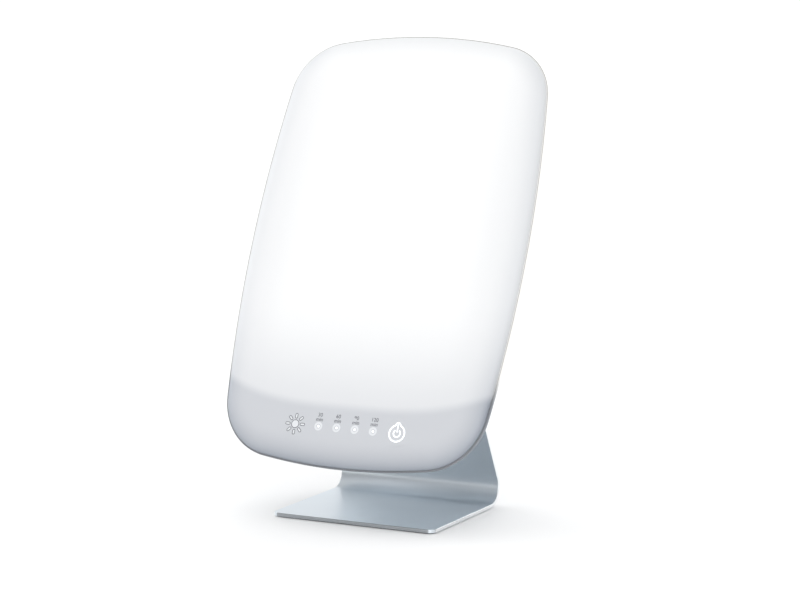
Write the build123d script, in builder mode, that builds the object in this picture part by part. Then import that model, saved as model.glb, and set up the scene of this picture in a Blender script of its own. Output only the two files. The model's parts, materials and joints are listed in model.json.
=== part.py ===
"""Light therapy lamp: a large opal screen in a slim head, tilting on a bent aluminium stand.

Millimetres, +Z up. The front faces -Y, and the origin is the middle of the anti-slip pad's
underside. The head is drawn in its own frame: x to the right, y up along the screen, and
depth measured backwards from the screen's front face.
"""

import os
from math import acos, asin, cos, degrees, hypot, radians, sin, sqrt, tan

from build123d import *

# ---------------------------------------------------------------- driving dimensions

# Head outline: four shallow arcs joined by corner arcs
head_width = 336.0
head_height = 497.0
side_arc_r = 1620.0
top_arc_r = 570.0
bottom_arc_r = 665.0
top_corner_r = 65.5
bottom_corner_r = 69.5

# Shells: how far the screen stands inside the cover's rim, rounded edges (width across the
# face, depth front to back), bands and walls
screen_inset = 1.6
screen_edge_width = 30.0
screen_edge_depth = 10.0
screen_skirt = 0.6
screen_wall = 2.4
rear_band = 1.0
rear_edge_width = 60.0
rear_edge_depth = 22.4
rear_wall = 2.4
lip_height = 1.6
lip_wall = 1.5
lip_clearance = 0.7
lip_root = 2.0

# Pose of the head and the stand, in degrees from the vertical
head_tilt = 24.4
stand_lean = 27.8

# Stand
plate_width = 198.0
plate_thickness = 4.0
plate_flat_depth = 144.0
bend_outer_r = 22.0
upright_length = 171.0
plate_corner_r = 10.0
plate_edge_round = 0.4
pad_thickness = 1.0
pad_inset = 3.0
pad_corner_r = 5.0

# Tilt hinge
pivot_height = 142.0
axis_standoff = 14.0
block_length = 108.0
block_size = 18.0
block_round = 6.0
block_screw_pitch = 40.0
block_screw_count = 3
block_thread_depth = 5.0
pin_r = 3.0
pin_clearance = 0.05
pin_head_r = 5.0
pin_head_thickness = 3.0
pin_end = 1.0
bracket_width = 150.0
bracket_height = 40.0
bracket_thickness = 2.5
bracket_corner_r = 5.0
bracket_screw_inset = 8.0
bracket_screw_end = 1.5
ear_thickness = 3.0
ear_r = 8.0
ear_root = 26.0
washer_thickness = 1.0
washer_r = 7.5
side_play = 0.05
disc_spring_thickness = 0.8
disc_spring_r = 6.0
nut_across = 10.0
nut_thickness = 5.0
cap_wall = 1.2
cap_clearance = 0.3
backing_margin = 2.0
backing_thickness = 2.0

# Screws
m3_r = 1.5
m3_head_r = 2.9
m3_head_height = 1.9
m4_r = 2.0
m4_head_r = 3.8
m4_head_height = 2.4
head_round = 0.7
screw_clearance = 0.2
thread_clearance = 0.05
recess_width = 0.9
recess_depth = 1.1
recess_reach = 0.62
screw_end_gap = 0.5

# Towers that join the two shells
tower_inset = 14.0
tower_r = 3.5
tower_end = 18.0
tower_overlap = 1.0
well_r = 4.6
well_wall = 1.4
well_floor = 2.0
cover_screw_length = 11.0
side_screw_ys = (-120.0, 20.0, 150.0)
end_screw_x = 78.0

# Light engine
engine_inset = 19.0
light_arc_r = 526.0
light_arc_height = 66.0
rib_thickness = 1.5
rib_gap = 0.3
diffuser_depth = 7.0
diffuser_thickness = 1.0
diffuser_clearance = 0.6
sheet_thickness = 1.0
tray_rim = 6.0
tray_floor_depth = 19.0
tray_draft = 38.0
strip_count = 6
strip_side_gap = 57.5
strip_width = 12.0
strip_top_gap = 78.5
strip_bottom_gap = 98.5
strip_thickness = 1.6
leds_per_strip = 9
led_size = 3.5
led_height = 0.8
link_width = 6.0
link_thickness = 0.6
link_inset = 6.0
tray_boss_r = 4.5
tray_boss_end_gap = 14.0
tray_screw_length = 7.0

# Control band
control_height = 43.0
key_spacing = 123.0
key_r = 14.0
key_gap = 0.3
key_back_gap = 0.5
key_flange = 1.5
key_flange_thickness = 1.2
stem_r = 3.0
stem_clearance = 0.15
stem_guide_wall = 1.5
stem_guide_length = 2.0
carrier_depth = 5.0
carrier_thickness = 1.5
carrier_drop = 3.0
post_r = 3.4
post_x = 82.0
post_drop = 8.0
timer_count = 4
timer_pitch = 22.0
guide_r = 1.5
guide_flange_r = 2.6
guide_flange_thickness = 1.0
guide_clearance = 0.1
board_depth = 13.2
board_thickness = 1.6
board_width = 176.0
board_height = 24.0
board_corner_r = 2.0
switch_size = 6.0
switch_height = 3.2
switch_bore_depth = 2.0
plunger_r = 1.7
plunger_height = 1.0
plunger_sunk = 0.8
plunger_clearance = 0.1
indicator_size = 3.0
indicator_height = 0.8
post_screw_length = 11.6

# Driver board
driver_width = 150.0
driver_height = 34.0
driver_depth = 23.0
driver_rise = 45.0
driver_screw_inset_x = 7.0
driver_screw_inset_y = 5.0
driver_boss_r = 3.2
driver_screw_length = 5.5
can_r = 4.0
can_height = 7.0
can_round = 0.6
can_pitch = 11.0
can_count = 3
can_x = -48.0
coil_size = 12.0
coil_height = 6.0
coil_chamfer = 1.5
coil_x = 30.0
chip_width = 8.0
chip_height = 1.4
chip_pitch = 14.0
chip_x = 44.0
link_block_width = 18.0
link_block_height = 5.0
link_block_rise = 6.0
plug_width = 8.0
plug_depth = 5.0
plug_height = 6.0
plug_rise = 10.0
led_plug_x = -54.0
inlet_plug_x = 54.0

# DC inlet
inlet_side_gap = 68.0
inlet_height = 60.0
inlet_seat_depth = 32.5
inlet_flange_r = 5.6
inlet_flange_thickness = 1.5
inlet_thread_r = 4.0
inlet_hole_clearance = 0.15
inlet_length = 11.0
inlet_bore_r = 2.75
inlet_bore_depth = 9.5
inlet_pin_r = 1.0
inlet_pin_sunk = 1.0
inlet_boss_r = 7.0
inlet_wall = 2.2
inlet_nut_across = 11.0
inlet_nut_thickness = 2.0

# Leads
lead_r = 0.8
lead_bend_share = 0.45
lead_hole_r = 2.5
lead_depth = 20.0
lead_knees = (0.35, 0.7)
led_lead_run = 12.0
led_lead_rise = 6.0
led_lead_bow = 4.0
inlet_lead_run = 7.5
inlet_plug_run = 12.0
inlet_lead_bow = 3.0
inlet_lead_lift = 1.5

# Ventilation slots
slot_width = 2.6
slot_length = 64.0
slot_pitch = 7.0
slot_rows = 7
slot_columns = 2
slot_column_pitch = 84.0
upper_vent_height = 372.0
lower_vent_height = 96.0

# ---------------------------------------------------------------- derived places

parting_depth = screen_edge_depth + screen_skirt
screen_inside = screen_inset + screen_wall
rear_edge_start = parting_depth + rear_band
head_depth = rear_edge_start + rear_edge_depth
rear_inside = head_depth - rear_wall
bracket_face = head_depth + bracket_thickness
axis_depth = head_depth + axis_standoff

touching = 0.001
X = Vector(1, 0, 0)
tilt = radians(head_tilt)
lean = radians(stand_lean)
up_head = Vector(0, sin(tilt), cos(tilt))
out_of_head = Vector(0, -cos(tilt), sin(tilt))
up_stand = Vector(0, -sin(lean), cos(lean))
off_stand = Vector(0, -cos(lean), -sin(lean))

# The hinge axis, found by walking along the stand from the bend
bend_centre = Vector(0, plate_flat_depth / 2, pad_thickness + bend_outer_r)
bend_end = bend_centre - off_stand * (bend_outer_r - plate_thickness)
axis = bend_end + up_stand * upright_length + off_stand * (block_size / 2)


def height(from_bottom):
    """A height above the head's lowest point, as y in the head's frame."""
    return from_bottom - head_height / 2


head_centre = axis - up_head * height(pivot_height) + out_of_head * axis_depth


def across_head(depth):
    """The plane across the head at this depth, facing forwards."""
    return Plane(head_centre - out_of_head * depth, x_dir=X, z_dir=out_of_head)


def in_head(x, y, depth):
    """A point given in the head's frame."""
    return head_centre + X * x + up_head * y - out_of_head * depth


def behind_axis(distance):
    """The plane along the stand's upright, this far behind the hinge axis, facing back."""
    return Plane(axis - off_stand * distance, x_dir=-X, z_dir=-off_stand)


def across_axis(x, up):
    """The plane square to the hinge axis at x, with its own x along the given direction."""
    return Plane(axis + X * x, x_dir=up, z_dir=X)


# ---------------------------------------------------------------- outlines


def corner(end_arc_r, corner_r):
    """A corner arc's centre, and the angles where the side arc and the end arc meet it."""
    side_x = head_width / 2 - side_arc_r
    end_y = head_height / 2 - end_arc_r
    side_reach = side_arc_r - corner_r
    end_reach = end_arc_r - corner_r
    apart = hypot(side_x, end_y)
    along = (side_reach**2 - end_reach**2 + apart**2) / (2 * apart)
    across = sqrt(side_reach**2 - along**2)
    x = side_x - (along * side_x + across * end_y) / apart
    y = (along * end_y - across * side_x) / apart
    return (x, y), degrees(asin(y / side_reach)), degrees(acos(x / end_reach))


top_centre, top_side_angle, top_end_angle = corner(top_arc_r, top_corner_r)
low_centre, low_side_angle, low_end_angle = corner(bottom_arc_r, bottom_corner_r)
low_centre = (low_centre[0], -low_centre[1])


def right_arcs(inset):
    """The arcs of the outline's right half, moved inwards, in the current lines."""
    side_x = head_width / 2 - side_arc_r
    side_span = low_side_angle + top_side_angle
    CenterArc((side_x, 0), side_arc_r - inset, -low_side_angle, side_span)
    turn = top_end_angle - top_side_angle
    CenterArc(top_centre, top_corner_r - inset, top_side_angle, turn)
    end_y = head_height / 2 - top_arc_r
    CenterArc((0, end_y), top_arc_r - inset, top_end_angle, 90 - top_end_angle)
    turn = low_end_angle - low_side_angle
    CenterArc(low_centre, bottom_corner_r - inset, -low_end_angle, turn)
    end_y = bottom_arc_r - head_height / 2
    CenterArc((0, end_y), bottom_arc_r - inset, -90, 90 - low_end_angle)


def head_outline(inset):
    """The head's outline moved inwards by this much, as a face in the current sketch."""
    with BuildLine() as outline:
        right_arcs(inset)
        mirror(about=Plane.YZ)
    make_face(outline.edges())


def pillow(inset, face, rim, width, end):
    """A slab from the face's depth to the end's, its edge a quarter ellipse from face to rim."""
    turn = 90 if face < rim else -90
    with BuildSketch(Plane(in_head(0, head_height / 2, 0), x_dir=-up_head, z_dir=X)) as profile:
        with BuildLine():
            core_x = inset + width
            edge = EllipticalCenterArc(
                (core_x, rim), width, abs(rim - face), start_angle=180, arc_size=turn
            )
            Polyline(edge @ 1, (core_x, end), (inset, end), edge @ 0)
        make_face()
    with BuildLine(across_head(0)) as path:
        right_arcs(0)
    with BuildPart() as slab:
        sweep(profile.sketch, path=path.wires()[0])
        mirror(about=Plane.YZ)
        with BuildSketch(across_head(face)):
            head_outline(core_x)
        extrude(amount=face - end)
    return slab.part


light_arc_centre = (0, height(light_arc_height + light_arc_r))


def lit_region(inset):
    """The light engine's outline at this inset: the head's, closed below by the band's arc."""
    head_outline(inset)
    with Locations(light_arc_centre):
        Circle(light_arc_r + engine_inset - inset, mode=Mode.INTERSECT)


def control_region(inset, drop):
    """What lies below the control band's arc, as a face in the current sketch."""
    head_outline(inset)
    with Locations(light_arc_centre):
        Circle(light_arc_r + drop, mode=Mode.SUBTRACT)


def edge_of_side(y, inset):
    """Half the head's width at y, moved inwards."""
    return head_width / 2 - side_arc_r + sqrt((side_arc_r - inset) ** 2 - y**2)


def edge_of_top(x, inset):
    """The head's top edge at x, moved inwards."""
    return head_height / 2 - top_arc_r + sqrt((top_arc_r - inset) ** 2 - x**2)


def edge_of_bottom(x, inset):
    """The head's bottom edge at x, moved inwards."""
    return bottom_arc_r - head_height / 2 - sqrt((bottom_arc_r - inset) ** 2 - x**2)


# ---------------------------------------------------------------- features


def studs(places, radius, front, rear, mode=Mode.ADD):
    """Round studs, or holes, along the depth of the head, in the current part."""
    with BuildSketch(across_head(front)) as ends:
        with Locations(*places):
            Circle(radius)
    extrude(ends.sketch, amount=front - rear, mode=mode)


def blocks(places, width, tall, front, rear, mode=Mode.ADD):
    """Rectangular blocks, or holes, along the depth of the head, in the current part."""
    with BuildSketch(across_head(front)) as ends:
        with Locations(*places):
            Rectangle(width, tall)
    extrude(ends.sketch, amount=front - rear, mode=mode)


def on_plane(edge, plane):
    """Whether a whole edge lies on the plane."""
    return all(abs(plane.to_local_coords(edge @ share).Z) < touching for share in (0, 0.5, 1))


def screws(seat, places, radius, head_r, head_height, length, toward=1):
    """Pan-head screws on a seat plane, their heads on the side that toward gives."""
    with BuildSketch(seat) as shanks:
        with Locations(*places):
            Circle(radius)
    extrude(shanks.sketch, amount=-toward * length)
    with BuildSketch(seat) as heads:
        with Locations(*places):
            Circle(head_r)
    extrude(heads.sketch, amount=toward * head_height)
    top = seat.offset(toward * head_height)
    fillet(edges().filter_by(lambda edge: on_plane(edge, top)), head_round)
    with BuildSketch(top) as recesses:
        with Locations(*places):
            Rectangle(2 * head_r * recess_reach, recess_width)
            Rectangle(recess_width, 2 * head_r * recess_reach)
    extrude(recesses.sketch, amount=-toward * recess_depth, mode=Mode.SUBTRACT)


def lead(start, leave, end, arrive, bow):
    """A lead of round section: square out of both ends, and bowed in between.

    leave and arrive are its straight runs out of the start and the end. Tangent arcs join them.
    """
    across = end + arrive - start - leave
    knees = [start + leave + across * share + bow for share in lead_knees]
    points = [start, start + leave, *knees, end + arrive, end]
    runs = [end - start for start, end in zip(points, points[1:])]
    radii = []
    for before, after in zip(runs, runs[1:]):
        half_turn = radians(before.get_angle(after)) / 2
        radii.append(lead_bend_share * min(before.length, after.length) / tan(half_turn))
    print("lead bends", [round(radius, 1) for radius in radii])
    with BuildLine() as route:
        FilletPolyline(*points, radius=radii)
    with BuildSketch(Plane(points[0], z_dir=runs[0])) as end:
        Circle(lead_r)
    sweep(end.sketch, path=route.line)


# ---------------------------------------------------------------- shared places

control_y = height(control_height)
key_places = {"power": (key_spacing / 2, control_y), "timer": (-key_spacing / 2, control_y)}
timer_places = [((i - (timer_count - 1) / 2) * timer_pitch, control_y) for i in range(timer_count)]
post_places = [(-post_x, control_y), (0, control_y - post_drop), (post_x, control_y)]
cover_screw_places = [
    (side * edge_of_side(y, tower_inset), y) for side in (-1, 1) for y in side_screw_ys
]
cover_screw_places += [
    (side * end_screw_x, edge(end_screw_x, tower_inset))
    for side in (-1, 1)
    for edge in (edge_of_top, edge_of_bottom)
]
strip_length = head_height - strip_top_gap - strip_bottom_gap
strip_pitch = (head_width - 2 * strip_side_gap) / (strip_count - 1)
led_pitch = strip_length / leds_per_strip
tray_boss_pitch = strip_length / 2 - tray_boss_end_gap
strip_y = (strip_bottom_gap - strip_top_gap) / 2
strip_xs = [(i - (strip_count - 1) / 2) * strip_pitch for i in range(strip_count)]
led_steps = [(i - (leds_per_strip - 1) / 2) * led_pitch for i in range(leds_per_strip)]
tray_boss_places = [
    (side * 2 * strip_pitch, strip_y + step * tray_boss_pitch)
    for side in (-1, 1)
    for step in (-1, 0, 1)
]
pivot_y = height(pivot_height)
bracket_screw_places = [
    (
        side * (bracket_width / 2 - bracket_screw_inset),
        pivot_y + end * (bracket_height / 2 - bracket_screw_inset),
    )
    for side in (-1, 1)
    for end in (-1, 1)
]
driver_y = height(driver_rise)
driver_places = [
    (
        side * (driver_width / 2 - driver_screw_inset_x),
        driver_y + end * (driver_height / 2 - driver_screw_inset_y),
    )
    for side in (-1, 1)
    for end in (-1, 1)
]
inlet_place = (head_width / 2 - inlet_side_gap, height(inlet_height))
lead_hole_place = (strip_xs[1], strip_y - strip_length / 2 + link_inset)
diffuser_back = diffuser_depth + diffuser_thickness
tray_rear = tray_floor_depth + sheet_thickness
strip_front = tray_floor_depth - strip_thickness
key_back = screen_wall + key_back_gap
plunger_front = board_depth - switch_height - plunger_height
board_rear = board_depth + board_thickness
driver_rear = driver_depth + board_thickness
carrier_rear = carrier_depth + carrier_thickness
well_bottom = tower_end + well_floor
ear_inner_x = block_length / 2 + side_play + washer_thickness
ear_outer_x = ear_inner_x + ear_thickness

# ---------------------------------------------------------------- stand

with BuildPart() as base_pad:
    with BuildSketch():
        pad_width = plate_width - 2 * pad_inset
        pad_depth = plate_flat_depth - 2 * pad_inset
        RectangleRounded(pad_width, pad_depth, pad_corner_r)
    extrude(amount=pad_thickness)

with BuildPart() as stand_plate:
    # Side view: base, rear bend and upright
    with BuildSketch(Plane.YZ):
        with BuildLine():
            centre = (bend_centre.Y, bend_centre.Z)
            inner_r = bend_outer_r - plate_thickness
            inner = CenterArc(centre, inner_r, -90, 90 + stand_lean)
            outer = CenterArc(centre, bend_outer_r, -90, 90 + stand_lean)
            reach = up_stand * (upright_length + block_size / 2)
            rise = Line(inner @ 1, inner @ 1 + Vector(reach.Y, reach.Z))
            back = Line(outer @ 1, outer @ 1 + Vector(reach.Y, reach.Z))
            Line(rise @ 1, back @ 1)
            base_length = Vector(plate_flat_depth, 0)
            top_face = Line(inner @ 0, inner @ 0 - base_length)
            under_face = Line(outer @ 0, outer @ 0 - base_length)
            Line(top_face @ 1, under_face @ 1)
        make_face()
    extrude(amount=plate_width / 2, both=True)
    front_corners = stand_plate.edges().filter_by(Axis.Z).group_by(Axis.Y)[0]
    fillet(front_corners, plate_corner_r)
    off_axis = Axis(axis, off_stand)
    top_corners = stand_plate.edges().filter_by(off_axis).group_by(Axis.Z)[-1]
    fillet(top_corners, plate_corner_r)
    # The cut edges are broken all round: they bound the narrow faces, as the bend lines don't
    cut_faces = stand_plate.faces().filter_by(lambda face: face.area < plate_width * bend_outer_r)
    cut_edges = cut_faces.edges().filter_by(lambda edge: edge.length > plate_thickness + touching)
    fillet(cut_edges, plate_edge_round)
    seat = behind_axis(block_size / 2)
    with BuildSketch(seat):
        with GridLocations(block_screw_pitch, 0, block_screw_count, 1):
            Circle(m4_r + screw_clearance)
    extrude(amount=plate_thickness, mode=Mode.SUBTRACT)

with BuildPart() as hinge_block:
    with BuildSketch(across_axis(-block_length / 2, up_stand)):
        profile = Rectangle(block_size, block_size)
        fillet(profile.vertices().group_by(Axis.Y)[-1], block_round)
        Circle(pin_r + pin_clearance, mode=Mode.SUBTRACT)
    extrude(amount=block_length)
    with BuildSketch(behind_axis(block_size / 2)):
        with GridLocations(block_screw_pitch, 0, block_screw_count, 1):
            Circle(m4_r + thread_clearance)
    extrude(amount=-block_thread_depth - screw_end_gap, mode=Mode.SUBTRACT)

with BuildPart() as block_screws:
    block_screw_xs = [
        (i - (block_screw_count - 1) / 2) * block_screw_pitch for i in range(block_screw_count)
    ]
    screws(
        behind_axis(block_size / 2 + plate_thickness),
        [(x, 0) for x in block_screw_xs],
        m4_r,
        m4_head_r,
        m4_head_height,
        plate_thickness + block_thread_depth,
    )

# ---------------------------------------------------------------- screen and rear cover

with BuildPart() as screen_shape:
    add(pillow(screen_inset, 0, screen_edge_depth, screen_edge_width, parting_depth))

with BuildPart() as screen_hollow:
    inner_width = screen_edge_width - screen_wall
    add(pillow(screen_inside, screen_wall, screen_edge_depth, inner_width, parting_depth))
    # Left standing: towers, the rib round the lit part, and posts for the control carrier
    studs(cover_screw_places, tower_r, 0, parting_depth, Mode.SUBTRACT)
    studs(post_places, post_r, 0, carrier_depth, Mode.SUBTRACT)
    with BuildSketch(across_head(0)):
        lit_region(engine_inset)
        offset(amount=-rib_thickness, kind=Kind.INTERSECTION, mode=Mode.SUBTRACT)
    extrude(amount=rib_gap - diffuser_depth, mode=Mode.SUBTRACT)

with BuildPart() as front_screen:
    add(screen_shape.part)
    add(screen_hollow.part, mode=Mode.SUBTRACT)
    studs(cover_screw_places, tower_r, parting_depth - tower_overlap, tower_end)
    pilot_end = well_bottom - cover_screw_length - screw_end_gap
    studs(cover_screw_places, m3_r + thread_clearance, pilot_end, tower_end, Mode.SUBTRACT)
    pilot_end = board_rear - post_screw_length - screw_end_gap
    studs(post_places, m3_r + thread_clearance, pilot_end, carrier_depth, Mode.SUBTRACT)
    studs(key_places.values(), key_r + key_gap, 0, carrier_depth, Mode.SUBTRACT)
    studs(timer_places, guide_r + guide_clearance, 0, carrier_depth, Mode.SUBTRACT)

with BuildPart() as rear_hollow:
    inner_width = rear_edge_width - rear_wall
    add(pillow(rear_wall, rear_inside, rear_edge_start, inner_width, parting_depth))
    # Left standing: the lip's root, screw wells and the bosses
    with BuildSketch(across_head(parting_depth)):
        head_outline(0)
        lip_inset = screen_inside + lip_clearance + lip_wall
        offset(amount=-lip_inset, mode=Mode.SUBTRACT)
    extrude(amount=-lip_root, mode=Mode.SUBTRACT)
    studs(cover_screw_places, well_r + well_wall, tower_end, head_depth, Mode.SUBTRACT)
    studs(tray_boss_places, tray_boss_r, tray_rear, head_depth, Mode.SUBTRACT)
    studs(driver_places, driver_boss_r, driver_rear, head_depth, Mode.SUBTRACT)
    inlet_boss_end = inlet_seat_depth - inlet_wall
    studs([inlet_place], inlet_boss_r, inlet_boss_end, head_depth, Mode.SUBTRACT)

with BuildPart() as rear_cover:
    add(pillow(0, head_depth, rear_edge_start, rear_edge_width, parting_depth))
    add(rear_hollow.part, mode=Mode.SUBTRACT)
    with BuildSketch(across_head(parting_depth - lip_height)):
        head_outline(screen_inside + lip_clearance)
        offset(amount=-lip_wall, mode=Mode.SUBTRACT)
    extrude(amount=-lip_height - lip_root)
    studs(cover_screw_places, well_r, well_bottom, head_depth, Mode.SUBTRACT)
    studs(cover_screw_places, m3_r + screw_clearance, tower_end, well_bottom, Mode.SUBTRACT)
    pilot_end = tray_floor_depth + tray_screw_length + screw_end_gap
    studs(tray_boss_places, m3_r + thread_clearance, tray_rear, pilot_end, Mode.SUBTRACT)
    pilot_end = driver_depth + driver_screw_length + screw_end_gap
    studs(driver_places, m3_r + thread_clearance, driver_rear, pilot_end, Mode.SUBTRACT)
    studs(bracket_screw_places, m4_r + screw_clearance, rear_inside, head_depth, Mode.SUBTRACT)
    inlet_hole_r = inlet_thread_r + inlet_hole_clearance
    studs([inlet_place], inlet_hole_r, inlet_boss_end, head_depth, Mode.SUBTRACT)
    inlet_seat_r = inlet_flange_r + inlet_hole_clearance
    studs([inlet_place], inlet_seat_r, inlet_seat_depth, head_depth, Mode.SUBTRACT)
    with BuildSketch(across_head(rear_inside)):
        with Locations((0, height(upper_vent_height)), (0, height(lower_vent_height))):
            with GridLocations(slot_column_pitch, slot_pitch, slot_columns, slot_rows):
                SlotOverall(slot_length, slot_width)
    extrude(amount=-rear_wall, mode=Mode.SUBTRACT)

with BuildPart() as cover_screws:
    seat = across_head(well_bottom)
    places = cover_screw_places
    screws(seat, places, m3_r, m3_head_r, m3_head_height, cover_screw_length, toward=-1)

# ---------------------------------------------------------------- light engine

# The tray's wall slopes inwards from its rim to its floor
draft = tan(radians(tray_draft))
wall_shift = sheet_thickness / cos(radians(tray_draft))
mouth_inset = engine_inset + tray_rim
floor_inset = mouth_inset + (tray_floor_depth - diffuser_back) * draft

with BuildPart() as reflector_tray:
    with BuildSketch(across_head(diffuser_back)):
        lit_region(engine_inset)
    extrude(amount=-sheet_thickness)
    with BuildSketch(across_head(diffuser_back + sheet_thickness)):
        lit_region(mouth_inset + sheet_thickness * draft - wall_shift)
    with BuildSketch(across_head(tray_rear)):
        lit_region(floor_inset + sheet_thickness * draft - wall_shift)
    loft(ruled=True)
    with BuildSketch(across_head(diffuser_back)):
        lit_region(mouth_inset)
    with BuildSketch(across_head(tray_floor_depth)):
        lit_region(floor_inset)
    loft(ruled=True, mode=Mode.SUBTRACT)
    hole_r = m3_r + screw_clearance
    studs(tray_boss_places, hole_r, tray_floor_depth, tray_rear, Mode.SUBTRACT)
    studs([lead_hole_place], lead_hole_r, tray_floor_depth, tray_rear, Mode.SUBTRACT)

with BuildPart() as tray_screws:
    seat = across_head(tray_floor_depth)
    screws(seat, tray_boss_places, m3_r, m3_head_r, m3_head_height, tray_screw_length)

with BuildPart() as diffuser_sheet:
    with BuildSketch(across_head(diffuser_depth)):
        lit_region(engine_inset + diffuser_clearance)
    extrude(amount=-diffuser_thickness)

led_strips = []
for x in strip_xs:
    with BuildPart() as led_strip:
        blocks([(x, strip_y)], strip_width, strip_length, strip_front, tray_floor_depth)
    led_strips.append(led_strip)

with BuildPart() as strip_leds:
    led_places = [(x, strip_y + step) for x in strip_xs for step in led_steps]
    blocks(led_places, led_size, led_size, strip_front - led_height, strip_front)

with BuildPart() as strip_links:
    link_y = strip_y - strip_length / 2 + link_inset
    link_places = [((a + b) / 2, link_y) for a, b in zip(strip_xs, strip_xs[1:])]
    link_front = tray_floor_depth - link_thickness
    blocks(link_places, strip_pitch - strip_width, link_width, link_front, tray_floor_depth)

# ---------------------------------------------------------------- control band

with BuildPart() as control_carrier:
    with BuildSketch(across_head(carrier_depth)):
        control_region(engine_inset, carrier_drop)
    extrude(amount=-carrier_thickness)
    studs(post_places, post_r, carrier_depth, board_depth)
    stem_hole_r = stem_r + stem_clearance
    stem_guide_end = carrier_rear + stem_guide_length
    studs(key_places.values(), stem_hole_r + stem_guide_wall, carrier_depth, stem_guide_end)
    studs(key_places.values(), stem_hole_r, carrier_depth, stem_guide_end, Mode.SUBTRACT)
    guide_hole_r = guide_r + guide_clearance
    studs(timer_places, guide_hole_r, carrier_depth, carrier_rear, Mode.SUBTRACT)
    studs(post_places, m3_r + screw_clearance, carrier_depth, board_depth, Mode.SUBTRACT)

with BuildPart() as control_board:
    with BuildSketch(across_head(board_depth)):
        with Locations((0, control_y)):
            RectangleRounded(board_width, board_height, board_corner_r)
    extrude(amount=-board_thickness)
    studs(post_places, m3_r + screw_clearance, board_depth, board_rear, Mode.SUBTRACT)

with BuildPart() as control_screws:
    seat = across_head(board_rear)
    places = post_places
    screws(seat, places, m3_r, m3_head_r, m3_head_height, post_screw_length, toward=-1)

switches = {}
plungers = {}
keys = {}
for name, place in key_places.items():
    with BuildPart() as switch:
        switch_front = board_depth - switch_height
        blocks([place], switch_size, switch_size, switch_front, board_depth)
        bore_end = switch_front + switch_bore_depth
        studs([place], plunger_r + plunger_clearance, switch_front, bore_end, Mode.SUBTRACT)
    switches[name] = switch
    with BuildPart() as plunger:
        studs([place], plunger_r, plunger_front, switch_front + plunger_sunk)
    plungers[name] = plunger
    with BuildPart() as key:
        studs([place], key_r, 0, key_back)
        add(screen_shape.part, mode=Mode.INTERSECT)
        studs([place], key_r + key_flange, key_back, key_back + key_flange_thickness)
        studs([place], stem_r, key_back, plunger_front)
    keys[name] = key

with BuildPart() as timer_light_guides:
    guide_end = board_depth - indicator_height - guide_clearance
    studs(timer_places, guide_r, 0, guide_end)
    studs(timer_places, guide_flange_r, carrier_depth - guide_flange_thickness, carrier_depth)

with BuildPart() as timer_leds:
    indicator_front = board_depth - indicator_height
    blocks(timer_places, indicator_size, indicator_size, indicator_front, board_depth)

# ---------------------------------------------------------------- driver board

with BuildPart() as driver_board:
    blocks([(0, driver_y)], driver_width, driver_height, driver_depth, driver_rear)
    studs(driver_places, m3_r + screw_clearance, driver_depth, driver_rear, Mode.SUBTRACT)

with BuildPart() as driver_screws:
    seat = across_head(driver_depth)
    screws(seat, driver_places, m3_r, m3_head_r, m3_head_height, driver_screw_length)

with BuildPart() as driver_capacitors:
    can_places = [(can_x + i * can_pitch, driver_y) for i in range(can_count)]
    studs(can_places, can_r, driver_depth - can_height, driver_depth)
    can_top = across_head(driver_depth - can_height)
    fillet(edges().filter_by(lambda edge: on_plane(edge, can_top)), can_round)

with BuildPart() as driver_coil:
    blocks([(coil_x, driver_y)], coil_size, coil_size, driver_depth - coil_height, driver_depth)
    upright_edges = driver_coil.edges().filter_by(Axis(axis, out_of_head))
    chamfer(upright_edges, coil_chamfer)

with BuildPart() as driver_chips:
    chip_places = [(chip_x, driver_y + side * chip_pitch / 2) for side in (-1, 1)]
    blocks(chip_places, chip_width, chip_width, driver_depth - chip_height, driver_depth)

plug_y = driver_y + plug_rise
plug_front = driver_depth - plug_height
with BuildPart() as driver_plugs:
    plug_places = [(led_plug_x, plug_y), (inlet_plug_x, plug_y)]
    blocks(plug_places, plug_width, plug_depth, plug_front, driver_depth)

with BuildPart() as board_link:
    link_place = (0, control_y + link_block_rise)
    blocks([link_place], link_block_width, link_block_height, board_rear, driver_depth)

# ---------------------------------------------------------------- DC inlet

with BuildPart() as dc_inlet:
    inlet_face = inlet_seat_depth + inlet_flange_thickness
    inlet_inner_end = inlet_seat_depth - inlet_length
    bore_end = inlet_face - inlet_bore_depth
    studs([inlet_place], inlet_flange_r, inlet_seat_depth, inlet_face)
    studs([inlet_place], inlet_thread_r, inlet_inner_end, inlet_seat_depth)
    studs([inlet_place], inlet_bore_r, bore_end, inlet_face, Mode.SUBTRACT)
    studs([inlet_place], inlet_pin_r, bore_end, inlet_face - inlet_pin_sunk)

with BuildPart() as inlet_nut:
    with BuildSketch(across_head(inlet_boss_end - inlet_nut_thickness)):
        with Locations(inlet_place):
            RegularPolygon(inlet_nut_across / 2, 6, major_radius=False)
            Circle(inlet_thread_r + thread_clearance, mode=Mode.SUBTRACT)
    extrude(amount=-inlet_nut_thickness)

with BuildPart() as led_lead:
    lead(
        start=in_head(led_plug_x, plug_y + plug_depth / 2, lead_depth),
        leave=up_head * led_lead_run,
        end=in_head(*lead_hole_place, tray_floor_depth),
        arrive=out_of_head * -led_lead_rise,
        bow=out_of_head * -led_lead_bow,
    )

with BuildPart() as inlet_lead:
    lead(
        start=in_head(*inlet_place, inlet_inner_end),
        leave=out_of_head * inlet_lead_run,
        end=in_head(inlet_plug_x + plug_width / 2, plug_y, lead_depth),
        arrive=X * inlet_plug_run,
        bow=out_of_head * inlet_lead_bow + up_head * inlet_lead_lift,
    )

# ---------------------------------------------------------------- tilt hinge on the head

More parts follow.
